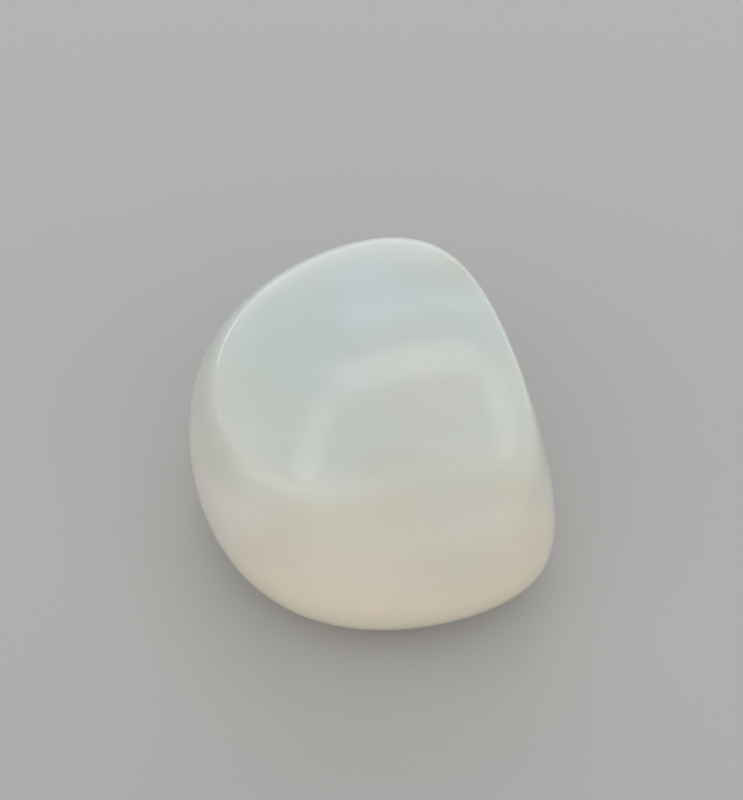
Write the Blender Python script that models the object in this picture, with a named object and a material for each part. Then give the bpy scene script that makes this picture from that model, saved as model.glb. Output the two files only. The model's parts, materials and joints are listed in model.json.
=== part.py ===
"""A tumble-polished moonstone about 15 mm across, lying on its flattest side.

Metres, +Z up. The stone's broad top face leans a little towards the front, which is -Y, and the
origin is under the middle of the stone, on the surface that it lies on.
"""

from collections import namedtuple
from math import isclose, pi

import bmesh
import bpy
import numpy as np

MM = 0.001

# A worn face is a patch of a large sphere. Its bearing is the way it looks from above, in degrees
# anticlockwise from +X, and its rise is how far it looks up. Its distance is from the stone's core.
WornFace = namedtuple("WornFace", "bearing rise distance radius")

CORE_HEIGHT = 4.8 * MM
TOP_FACE = WornFace(285, 81, 4.7 * MM, 38.5 * MM)
BASE_FACE = WornFace(0, -90, 5.0 * MM, 40 * MM)
SIDE_FACES = {
    "right": WornFace(16, 11, 6.46 * MM, 35 * MM),
    "back": WornFace(85, -10, 8.65 * MM, 15 * MM),
    "back left": WornFace(132, 45, 7.45 * MM, 15 * MM),
    "left": WornFace(185, 3, 7.67 * MM, 16 * MM),
    "front left": WornFace(214, -13, 8.74 * MM, 14 * MM),
    "front": WornFace(281, -18, 9.13 * MM, 17.5 * MM),
    "front right": WornFace(321, -13, 12.05 * MM, 13 * MM),
    "front shoulder": WornFace(266, 46, 7.06 * MM, 22 * MM),
}

# How far tumbling has rounded the edges where the faces meet. The rim of the top face is crisp
# nearly all round. It is worn away at the front, more and more between two distances from the core
# along one bearing.
SIDE_WEAR = 1.0 * MM
CRISP_RIM_WEAR = 0.1 * MM
FRONT_RIM_WEAR = 0.5 * MM
WORN_BEARING = 282
RIM_WEARS_FROM = 5.0 * MM
RIM_WORN_AT = 6.3 * MM

# The mesh is a block of four-sided faces drawn onto the stone. Its top makes the middle of the top
# face, its sides go over the rim and down the walls in rows, which crowd at the rim, and its foot
# makes the flat base.
FACES_ACROSS = 16
ROWS_TO_RIM = 7
ROWS_BELOW_RIM = 20
BLOCK_TOP_SHARE = 0.78
CROWDING = 0.8
LEVEL_WITHIN = 1e-5
LONGEST_REACH = 14 * MM
HALVINGS = 36

STONE_COLOUR = (0.60, 0.60, 0.53, 1)
STONE_ROUGHNESS = 0.12


def clear_scene():
    for item in list(bpy.data.objects):
        bpy.data.objects.remove(item, do_unlink=True)


def look(bearing, rise):
    """Unit vectors for a bearing and a rise, both in radians."""
    level = np.cos(rise)
    return np.stack([level * np.cos(bearing), level * np.sin(bearing), np.sin(rise)], axis=-1)


def distance_to(face, points):
    """How far points from the core lie outside a worn face, less than nothing if inside."""
    centre = look(*np.radians([face.bearing, face.rise])) * (face.distance - face.radius)
    return np.linalg.norm(points - centre, axis=-1) - face.radius


def worn_together(distances, wear):
    """The faces' common outside, with the edges where they meet rounded off by wear."""
    outermost = np.max(distances, axis=0)
    return outermost + wear * np.log(sum(np.exp((each - outermost) / wear) for each in distances))


def rim_wear(points):
    out = points @ look(np.radians(WORN_BEARING), 0)
    worn = np.clip((out - RIM_WEARS_FROM) / (RIM_WORN_AT - RIM_WEARS_FROM), 0, 1)
    return CRISP_RIM_WEAR + (FRONT_RIM_WEAR - CRISP_RIM_WEAR) * worn * worn * (3 - 2 * worn)


def body_distance(points):
    faces = [BASE_FACE, *SIDE_FACES.values()]
    return worn_together([distance_to(face, points) for face in faces], SIDE_WEAR)


def stone_distance(points):
    top = distance_to(TOP_FACE, points)
    return worn_together([top, body_distance(points)], rim_wear(points))


def floor_distance(points):
    return -CORE_HEIGHT - points[..., 2]


def halve(low, high, is_low):
    """Closes in on the place between low and high where is_low stops being true."""
    for _ in range(HALVINGS):
        middle = (low + high) / 2
        below = is_low(middle)
        low = np.where(below, middle, low)
        high = np.where(below, high, middle)
    return (low + high) / 2


def surface_points(looks):
    """Where rays from the core leave the stone, which is ground flat where it meets the floor."""

    def inside(reach):
        points = looks * reach[:, None]
        return np.maximum(stone_distance(points), floor_distance(points)) < 0

    nothing = np.zeros(len(looks))
    return looks * halve(nothing, nothing + LONGEST_REACH, inside)[:, None]


def rim_angles(bearings):
    """The angle down from the zenith, seen from the core, at which the top face ends."""

    def on_top(angles):
        points = surface_points(look(bearings, pi / 2 - angles))
        return distance_to(TOP_FACE, points) > body_distance(points)

    level = np.zeros(len(bearings))
    return halve(level, level + pi / 2, on_top)


def base_angles(bearings):
    """The angle down from the zenith at which the flat underside begins."""

    def above_floor(angles):
        points = surface_points(look(bearings, pi / 2 - angles))
        return stone_distance(points) > floor_distance(points)

    level = np.full(len(bearings), pi / 2)
    return halve(level, level + pi / 2, above_floor)


def crowd(share):
    """Moves shares of the way between 0 and 1 closer together towards 1."""
    return CROWDING * np.sin(share * pi / 2) + (1 - CROWDING) * share


def wrap(block):
    """Draws a block from -1 to 1 onto the stone and gives the new places of its points."""
    x, y, z = block.T
    round_x = x * np.sqrt(1 - y * y / 2)
    round_y = y * np.sqrt(1 - x * x / 2)
    share = np.hypot(round_x, round_y)
    bearings = np.arctan2(round_y, round_x)
    rim = rim_angles(bearings)
    base = base_angles(bearings)
    down = (1 - z) / 2
    rim_row = ROWS_TO_RIM / (ROWS_TO_RIM + ROWS_BELOW_RIM)
    to_rim = crowd(np.clip(down / rim_row, 0, 1))
    below_rim = 1 - crowd(np.clip((1 - down) / (1 - rim_row), 0, 1))
    side = rim * (BLOCK_TOP_SHARE + (1 - BLOCK_TOP_SHARE) * to_rim) + (base - rim) * below_rim
    on_top = np.isclose(z, 1)
    on_foot = np.isclose(z, -1)
    angles = np.where(on_top, rim * BLOCK_TOP_SHARE * share, side)
    angles = np.where(on_foot, pi - (pi - base) * share, angles)
    points = surface_points(look(bearings, pi / 2 - angles))
    points[:, 2] += CORE_HEIGHT
    points[on_foot, 2] = 0
    points[:, :2] -= (points[:, :2].min(axis=0) + points[:, :2].max(axis=0)) / 2
    return points


def polished_stone():
    """A milky, polished mineral, cream with a trace of blue."""
    material = bpy.data.materials.new("milky polished stone")
    material.use_nodes = True
    shader = material.node_tree.nodes["Principled BSDF"]
    shader.inputs["Base Color"].default_value = STONE_COLOUR
    shader.inputs["Roughness"].default_value = STONE_ROUGHNESS
    shader.inputs["Metallic"].default_value = 0
    return material


def is_level(edge):
    return isclose(edge.verts[0].co.z, edge.verts[1].co.z, abs_tol=LEVEL_WITHIN)


def ruled_block():
    """A block from -1 to 1, ruled into rows down its sides and squares on its top and foot."""
    block = bmesh.new()
    bmesh.ops.create_cube(block, size=2)
    upright = [edge for edge in block.edges if not is_level(edge)]
    bmesh.ops.subdivide_edges(block, edges=upright, cuts=ROWS_TO_RIM + ROWS_BELOW_RIM - 1)
    level = [edge for edge in block.edges if is_level(edge)]
    bmesh.ops.subdivide_edges(block, edges=level, cuts=FACES_ACROSS - 1, use_grid_fill=True)
    return block


def moonstone():
    """The stone, in one piece."""
    form = ruled_block()
    places = wrap(np.array([vertex.co for vertex in form.verts], dtype=float))
    for vertex, place in zip(form.verts, places):
        vertex.co = place
    bmesh.ops.recalc_face_normals(form, faces=form.faces[:])
    mesh = bpy.data.meshes.new("moonstone")
    form.to_mesh(mesh)
    form.free()
    mesh.shade_smooth()
    mesh.materials.append(polished_stone())
    stone = bpy.data.objects.new("moonstone", mesh)
    bpy.context.collection.objects.link(stone)
    return stone


clear_scene()
moonstone()
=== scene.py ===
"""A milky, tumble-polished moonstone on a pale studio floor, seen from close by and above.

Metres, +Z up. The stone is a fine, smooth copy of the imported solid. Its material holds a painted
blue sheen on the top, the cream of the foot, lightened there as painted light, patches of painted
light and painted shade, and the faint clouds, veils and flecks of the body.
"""

import json
from collections import namedtuple
from math import cos, pi, radians, sin

import bpy
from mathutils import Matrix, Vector

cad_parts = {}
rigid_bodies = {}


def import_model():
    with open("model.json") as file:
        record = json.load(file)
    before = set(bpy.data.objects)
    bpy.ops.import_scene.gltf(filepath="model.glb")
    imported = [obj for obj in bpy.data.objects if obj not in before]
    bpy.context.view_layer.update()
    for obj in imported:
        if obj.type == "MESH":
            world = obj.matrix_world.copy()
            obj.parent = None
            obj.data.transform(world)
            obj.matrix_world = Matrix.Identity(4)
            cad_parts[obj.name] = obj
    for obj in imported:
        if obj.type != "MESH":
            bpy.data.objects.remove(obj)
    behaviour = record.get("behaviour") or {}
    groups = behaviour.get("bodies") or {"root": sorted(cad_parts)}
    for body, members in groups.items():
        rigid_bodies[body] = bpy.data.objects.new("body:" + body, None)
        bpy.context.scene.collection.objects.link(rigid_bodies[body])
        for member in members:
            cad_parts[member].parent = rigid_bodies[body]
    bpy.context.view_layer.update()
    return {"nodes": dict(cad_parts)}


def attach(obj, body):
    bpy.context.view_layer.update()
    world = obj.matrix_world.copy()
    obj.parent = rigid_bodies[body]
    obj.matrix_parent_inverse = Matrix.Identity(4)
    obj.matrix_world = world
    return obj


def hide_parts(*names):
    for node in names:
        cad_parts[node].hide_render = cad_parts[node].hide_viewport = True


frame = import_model()

MM = 0.001

# The stone's mesh
JOIN_WITHIN = 0.001 * MM
FOOT_WITHIN = 0.001 * MM
FOOT_BORDERS = (0.15 * MM, 0.6 * MM)
KEEP_TO_ROWS = 2.0
SMOOTH_LEVELS = 2

# The camera, which looks down at the stone from its front
VIEW_ELEVATION = radians(50)
VIEW_DISTANCE = 90 * MM
VIEW_CENTRE = Vector((0.0, 0.0, 4.8 * MM))
AIM_RIGHT = 0.04 * MM
AIM_UP = 1.25 * MM
LENS_MM = 100
SENSOR_MM = 36

# The studio. A light's radiance is how bright its face looks, where a white sheet in it is 1.
FLOOR_SIZE = 6.0
FLOOR_GREY = (0.52, 0.525, 0.525, 1)
ROOM_BEHIND = (0.28, 0.285, 0.29, 1)
ROOM_IN_FRONT = (1.0, 0.975, 0.94, 1)
FRONTWARD = (-0.5, 0.9)
UPWARD = (-0.25, 0.45)
ROOM_RADIANCE = 1.19
SOFTBOX_DISTANCE = 600 * MM
FRAME_HEIGHT = 350 * MM


class Field:
    """A value that changes over a surface. Arithmetic on it adds Math nodes."""

    def __init__(self, recipe, socket):
        self.recipe = recipe
        self.socket = socket

    def maths(self, operation, first, second):
        return self.recipe.add("ShaderNodeMath", {"operation": operation}, {0: first, 1: second})

    def __add__(self, other):
        return self.maths("ADD", self, other)

    def __sub__(self, other):
        return self.maths("SUBTRACT", self, other)

    def __rsub__(self, other):
        return self.maths("SUBTRACT", other, self)

    def __mul__(self, other):
        return self.maths("MULTIPLY", self, other)

    __radd__ = __add__
    __rmul__ = __mul__


class Recipe:
    """The nodes of one material, or of the room around the stone."""

    def __init__(self, owner, shader):
        self.owner = owner
        owner.use_nodes = True
        self.tree = owner.node_tree
        self.shader = self.tree.nodes[shader]

    def set_inputs(self, node, inputs):
        for key, value in inputs.items():
            socket = node.inputs[key]
            if isinstance(value, Field):
                self.tree.links.new(value.socket, socket)
            else:
                socket.default_value = value

    def add(self, kind, settings, inputs, output=0):
        """A new node of a kind, with its settings made first, and one of its outputs."""
        node = self.tree.nodes.new(kind)
        for key, value in settings.items():
            if key == "stops":
                self.set_stops(node.color_ramp, value)
            else:
                setattr(node, key, value)
        self.set_inputs(node, inputs)
        return Field(self, node.outputs[output])

    def set_stops(self, ramp, stops):
        ramp.interpolation = "EASE"
        for _ in stops[2:]:
            ramp.elements.new(1)
        for element, (place, colour) in zip(ramp.elements, stops):
            element.position = place
            element.color = colour

    def place(self):
        """The place on the object, in millimetres."""
        metres = self.add("ShaderNodeTexCoord", {}, {}, "Object")
        return self.add("ShaderNodeVectorMath", {"operation": "SCALE"}, {0: metres, "Scale": 1 / MM})

    def part(self, vector, axis):
        return self.add("ShaderNodeSeparateXYZ", {}, {0: vector}, axis)

    def noise(self, spot, size, detail=2.0, roughness=0.5, distortion=0.0):
        """Noise around a half, with lumps of about a size in millimetres."""
        inputs = {
            "Vector": spot,
            "Scale": 1 / size,
            "Detail": detail,
            "Roughness": roughness,
            "Distortion": distortion,
        }
        return self.add("ShaderNodeTexNoise", {}, inputs)

    def nearest(self, spot, spacing):
        """The distance to the nearest of scattered points, where their spacing is 1."""
        return self.add("ShaderNodeTexVoronoi", {}, {"Vector": spot, "Scale": 1 / spacing}, "Distance")

    def turned(self, spot, turn, scale):
        return self.add("ShaderNodeMapping", {}, {"Vector": spot, "Rotation": turn, "Scale": scale})

    def smooth_step(self, value, start, end):
        """0 at start and 1 at end, with a soft run between."""
        inputs = {"Value": value, "From Min": start, "From Max": end}
        return self.add("ShaderNodeMapRange", {"interpolation_type": "SMOOTHSTEP"}, inputs)

    def near(self, spot, centre, reach):
        """1 at a centre, falling softly to 0 at a reach from it."""
        away = self.add("ShaderNodeVectorMath", {"operation": "DISTANCE"}, {0: spot, 1: centre}, 1)
        return self.smooth_step(away, reach, 0.0)

    def mix(self, share, first, second):
        """A colour between two, by share."""
        return self.add("ShaderNodeMix", {"data_type": "RGBA"}, {0: share, 6: first, 7: second}, 2)

    def finish(self, inputs):
        self.set_inputs(self.shader, inputs)
        return self.owner


def material_recipe(name):
    return Recipe(bpy.data.materials.new(name), "Principled BSDF")


# Finishes, with places and sizes on the stone in millimetres

# The body's tint changes with height, and a little towards the back. It is partly the stone's own
# cream and blue-white and partly painted light: a painted blue sheen at the top, the foot lightened
# as painted light glowing through it, and painted shade darkening the shoulder between.
TINT_FROM = 2.0
TINT_TO = 11.0
TINT_LEAN = 0.22
CLOUD_SIZE = 4.5
CLOUD_SHIFT = 1.8
TINTS_WITH_PAINTED_LIGHT = (
    (0.0, (0.82, 0.75, 0.615, 1)),
    (0.25, (0.74, 0.695, 0.61, 1)),
    (0.45, (0.665, 0.665, 0.595, 1)),
    (0.70, (0.665, 0.72, 0.69, 1)),
    (0.88, (0.65, 0.725, 0.715, 1)),
    (1.0, (0.68, 0.745, 0.735, 1)),
)
# Veil white is the veils' and flecks' own colour and also the colour of painted light; clear grey is the
# clear patches' own colour and also the colour of painted shade.
VEIL_AND_LIGHT_WHITE = (0.86, 0.87, 0.84, 1)
CLEAR_AND_SHADE_GREY = (0.62, 0.63, 0.58, 1)

# Painted sheen, painted light and painted shade: places where the tint turns bluer, lighter or darker, by
# a share at most
PaintedPatch = namedtuple("PaintedPatch", "centre reach share colour")
PAINTED_PATCHES = (
    # painted blue sheen on the top
    PaintedPatch((-0.2, 2.8, 9.6), 3.0, 0.35, (0.70, 0.79, 0.92, 1)),
    # painted light: a lighter, warmer patch on the top
    PaintedPatch((2.2, -1.4, 9.2), 4.5, 0.45, (0.75, 0.745, 0.69, 1)),
    # painted shade on the front shoulder
    PaintedPatch((1.0, -6.0, 7.8), 3.0, 0.5, (0.66, 0.63, 0.56, 1)),
    # painted shade low on the front, towards the right
    PaintedPatch((3.4, -6.9, 6.6), 3.6, 0.5, CLEAR_AND_SHADE_GREY),
    # painted shade on the left of the front rim
    PaintedPatch((-4.0, -5.1, 8.2), 2.0, 0.25, CLEAR_AND_SHADE_GREY),
    # painted shade at the back right of the top
    PaintedPatch((3.9, 4.9, 9.4), 2.0, 0.7, CLEAR_AND_SHADE_GREY),
    # painted light low on the left front
    PaintedPatch((-4.8, -5.4, 7.1), 2.2, 0.3, VEIL_AND_LIGHT_WHITE),
)

# Painted shade darkens the stone at the top of its left side, and painted light lightens it low down on
# both sides.
LEFT_WAY = Vector((-0.996, -0.087, 0))
LEFT_SIDE = (4.6, 6.6)
RIGHT_SIDE = (6.2, 7.2)
UPPER_HALF = (6.0, 8.0)
PAINTED_SHADE_SHARE = 0.5
PAINTED_LIGHT_SHARE = 0.32

# Clear patches, veils and flecks. The veils are thin, leaning sheets.
PATCH_SHARE = 0.14
PATCH_SIZE = 2.6
PATCH_EDGE = (0.5, 0.75)
VEIL_SHARE = 0.15
VEIL_EDGE = (0.50, 0.82)
VEIL_TURN = (radians(28), radians(-17), 0)
VEIL_STRETCH = (0.14, 0.35, 1.6)
FLECK_SHARE = 0.06
FLECK_SPACING = 1.3
FLECK_EDGE = (0.03, 0.07)

# The polish, which is finest on a small worn spot of the rim
POLISH = 0.08
SMEARS = 0.06
SMEAR_SIZE = 3.0
SWELL_SIZE = 1.7
SWELL_HEIGHT = 0.002 * MM
WORN_SPOT = (-2.5, -5.55, 8.36)
WORN_REACH = 0.8
WORN_EDGE = (0.0, 0.6)
WORN_FINER = 0.6

# How light goes into the stone and wanders there
REFRACTION = 1.53
LIGHT_REACH = 4 * MM
LIGHT_REACH_BY_COLOUR = (1.0, 0.9, 0.75)

BOARD_TOOTH = 0.25
BOARD_TOOTH_HEIGHT = 0.02 * MM
BOARD_ROUGHNESS = 0.55


def tint_and_painted_light(recipe, spot):
    """The body's colour: cream at the foot and blue-white at the top, with a painted blue sheen, painted
    light and painted shade in the ramp and in the painted patches.
    """
    clouds = recipe.noise(spot, CLOUD_SIZE, detail=3.0, distortion=0.6)
    rise = recipe.part(spot, "Z") + recipe.part(spot, "Y") * TINT_LEAN + (clouds - 0.5) * CLOUD_SHIFT
    share = (rise - TINT_FROM) * (1 / (TINT_TO - TINT_FROM))
    # the ramp holds a painted blue sheen at the top, painted light at the foot and painted shade on the
    # shoulder
    colour = recipe.add("ShaderNodeValToRGB", {"stops": TINTS_WITH_PAINTED_LIGHT}, {0: share})
    # painted sheen, painted light and painted shade laid over the tint
    for painted_patch in PAINTED_PATCHES:
        reached = recipe.near(spot, painted_patch.centre, painted_patch.reach)
        colour = recipe.mix(reached * painted_patch.share, colour, painted_patch.colour)
    return colour


def clouded(recipe, spot, colour):
    """A colour with the clear patches, painted shade high on the left side, painted light low down on both
    sides and the veils laid over it.
    """
    patches = recipe.smooth_step(recipe.noise(spot, PATCH_SIZE, detail=4.0), *PATCH_EDGE)
    colour = recipe.mix(patches * PATCH_SHARE, colour, CLEAR_AND_SHADE_GREY)
    leftward = recipe.add("ShaderNodeVectorMath", {"operation": "DOT_PRODUCT"}, {0: spot, 1: LEFT_WAY}, 1)
    left = recipe.smooth_step(leftward, *LEFT_SIDE)
    right = recipe.smooth_step(recipe.part(spot, "X"), *RIGHT_SIDE)
    high = recipe.smooth_step(recipe.part(spot, "Z"), *UPPER_HALF)
    # painted shade high on the left side, then painted light low down on both sides
    colour = recipe.mix(left * high * PAINTED_SHADE_SHARE, colour, CLEAR_AND_SHADE_GREY)
    colour = recipe.mix((left + right) * (1 - high) * PAINTED_LIGHT_SHARE, colour, VEIL_AND_LIGHT_WHITE)
    sheets = recipe.turned(spot, VEIL_TURN, VEIL_STRETCH)
    veils = recipe.smooth_step(recipe.noise(sheets, 1.0, detail=1.0, distortion=0.4), *VEIL_EDGE)
    return recipe.mix(veils * (1 - left) * VEIL_SHARE, colour, VEIL_AND_LIGHT_WHITE)


def milky_polish():
    """The milky body with fine flecks in it, and its polish."""
    recipe = material_recipe("milky moonstone")
    spot = recipe.place()
    colour = clouded(recipe, spot, tint_and_painted_light(recipe, spot))
    flecks = 1 - recipe.smooth_step(recipe.nearest(spot, FLECK_SPACING), *FLECK_EDGE)
    smears = recipe.noise(spot, SMEAR_SIZE, detail=5.0, roughness=0.6)
    swell = recipe.noise(spot, SWELL_SIZE, detail=1.0) * 0.9 + flecks * 0.1
    polish = recipe.add("ShaderNodeBump", {}, {"Strength": 1.0, "Distance": SWELL_HEIGHT, "Height": swell})
    worn = recipe.smooth_step(recipe.near(spot, WORN_SPOT, WORN_REACH), *WORN_EDGE)
    return recipe.finish(
        {
            "Base Color": recipe.mix(flecks * FLECK_SHARE, colour, VEIL_AND_LIGHT_WHITE),
            "Roughness": (smears * SMEARS + POLISH) * (1 - worn * WORN_FINER),
            "IOR": REFRACTION,
            "Normal": polish,
            "Subsurface Weight": 1.0,
            "Subsurface Radius": LIGHT_REACH_BY_COLOUR,
            "Subsurface Scale": LIGHT_REACH,
        }
    )


def matt_board():
    """Pale board with a fine tooth."""
    recipe = material_recipe("pale board")
    spot = recipe.place()
    tooth = recipe.noise(spot, BOARD_TOOTH, detail=3.0)
    relief = {"Strength": 0.3, "Distance": BOARD_TOOTH_HEIGHT, "Height": tooth}
    board = recipe.add("ShaderNodeBump", {}, relief)
    return recipe.finish({"Base Color": FLOOR_GREY, "Roughness": BOARD_ROUGHNESS, "Normal": board})


def dress(piece, material):
    piece.data.materials.clear()
    piece.data.materials.append(material)


# The stone


def select_only(piece):
    bpy.ops.object.select_all(action="DESELECT")
    piece.select_set(True)
    bpy.context.view_layer.objects.active = piece


def select_foot(piece):
    """In edit mode, selects the faces of the level patch that the stone rests on."""
    bpy.ops.mesh.select_mode(type="FACE")
    bpy.ops.mesh.select_all(action="DESELECT")
    bpy.ops.object.mode_set(mode="OBJECT")
    for face in piece.data.polygons:
        face.select = face.center.z < FOOT_WITHIN
    bpy.ops.object.mode_set(mode="EDIT")


def polished_stone():
    """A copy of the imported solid, made into rows of four-sided faces and smoothed."""
    select_only(frame["nodes"]["moonstone"])
    bpy.ops.object.duplicate()
    stone = bpy.context.object
    stone.name = "polished_stone"
    stone.data.name = "polished_stone"
    bpy.ops.object.parent_clear(type="CLEAR_KEEP_TRANSFORM")
    for key in list(stone.keys()):
        del stone[key]
    bpy.ops.mesh.customdata_custom_splitnormals_clear()
    bpy.ops.object.mode_set(mode="EDIT")
    bpy.ops.mesh.select_all(action="SELECT")
    bpy.ops.mesh.remove_doubles(threshold=JOIN_WITHIN)
    bpy.ops.mesh.tris_convert_to_quads(
        face_threshold=pi, shape_threshold=pi, topology_influence=KEEP_TO_ROWS
    )
    select_foot(stone)
    bpy.ops.mesh.dissolve_faces()
    for border in FOOT_BORDERS:
        bpy.ops.mesh.inset(thickness=border)
    bpy.ops.object.mode_set(mode="OBJECT")
    smooth = stone.modifiers.new("smooth", "SUBSURF")
    smooth.levels = SMOOTH_LEVELS
    smooth.render_levels = SMOOTH_LEVELS
    bpy.ops.object.shade_smooth()
    return stone


# The studio


def studio_floor():
    bpy.ops.object.select_all(action="DESELECT")
    bpy.ops.mesh.primitive_plane_add(size=FLOOR_SIZE, location=(0, 0, 0))
    floor = bpy.context.object
    floor.name = "studio_floor"
    dress(floor, matt_board())


def soft_light(name, width, length, radiance):
    """A flat light whose face looks equally bright all over. The camera doesn't see it."""
    lamp = bpy.data.lights.new(name, "AREA")
    lamp.shape = "RECTANGLE"
    lamp.size = width
    lamp.size_y = length
    lamp.energy = radiance * pi * width * length
    light = bpy.data.objects.new(name, lamp)
    bpy.context.collection.objects.link(light)
    light.visible_camera = False
    return light


def softbox(name, bearing, rise, width, length, radiance):
    """A softbox that faces the stone. Its bearing is in degrees anticlockwise from +X."""
    light = soft_light(name, width, length, radiance)
    level = cos(radians(rise))
    way = Vector((level * cos(radians(bearing)), level * sin(radians(bearing)), sin(radians(rise))))
    light.location = VIEW_CENTRE + way * SOFTBOX_DISTANCE
    light.rotation_euler = way.to_track_quat("Z", "Y").to_euler()


def strip(name, start, end, width, radiance):
    """A strip of the light frame over the stone, from start to end, in millimetres."""
    first = Vector((*start, 0)) * MM
    last = Vector((*end, 0)) * MM
    run = last - first
    light = soft_light(name, run.length, width * MM, radiance)
    light.location = (first + last) / 2 + Vector((0, 0, FRAME_HEIGHT))
    light.rotation_euler = (0, 0, run.to_2d().angle_signed(Vector((1, 0))))


def studio_lights():
    room = Recipe(bpy.data.worlds.new("pale studio"), "Background")
    way = room.add("ShaderNodeTexCoord", {}, {}, "Generated")
    in_front = room.smooth_step(0 - room.part(way, "Y"), *FRONTWARD)
    raised = room.smooth_step(room.part(way, "Z"), *UPWARD)
    colour = room.mix(in_front * raised, ROOM_BEHIND, ROOM_IN_FRONT)
    bpy.context.scene.world = room.finish({"Color": colour, "Strength": ROOM_RADIANCE})
    softbox("back softbox", 94, 28, 0.5, 0.17, 1.6)
    softbox("back glow", 99, 42, 0.42, 0.12, 0.7)
    softbox("left softbox", 126, 8, 0.34, 0.15, 2.0)
    softbox("right softbox", 52, 16, 0.38, 0.3, 1.1)
    softbox("far left softbox", 158, 15, 0.3, 0.2, 0.6)
    strip("pin light", (-50, -34), (-61, -66), 9, 2.5)
    strip("left strip, far part", (-12, 124), (-27, 66), 22, 1.3)
    strip("left strip, near part", (-27, 66), (-45, -8), 24, 1.3)
    strip("middle strip, left part", (-8, 134), (46, 161), 36, 1.5)
    strip("middle strip, right part", (44, 161), (119, 188), 42, 1.5)
    strip("right strip, far part", (128, 172), (146, 92), 26, 1.4)
    strip("right strip, near part", (146, 92), (187, -10), 32, 1.2)
    strip("back strip", (0, 216), (117, 269), 28, 0.8)


def close_camera():
    back = Vector((0, -cos(VIEW_ELEVATION), sin(VIEW_ELEVATION)))
    up = Vector((0, sin(VIEW_ELEVATION), cos(VIEW_ELEVATION)))
    lens = bpy.data.cameras.new("close camera")
    lens.lens = LENS_MM
    lens.sensor_width = SENSOR_MM
    lens.clip_start = 1 * MM
    lens.clip_end = 20
    camera = bpy.data.objects.new("close camera", lens)
    bpy.context.collection.objects.link(camera)
    camera.location = VIEW_CENTRE + back * VIEW_DISTANCE
    aim = VIEW_CENTRE + up * AIM_UP + Vector((AIM_RIGHT, 0, 0))
    camera.rotation_euler = (aim - camera.location).to_track_quat("-Z", "Y").to_euler()
    bpy.context.scene.camera = camera


close_camera()
stone = polished_stone()
dress(stone, milky_polish())
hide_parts("moonstone")
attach(stone, "root")
studio_floor()
studio_lights()
bpy.context.scene.view_settings.view_transform = "Standard"
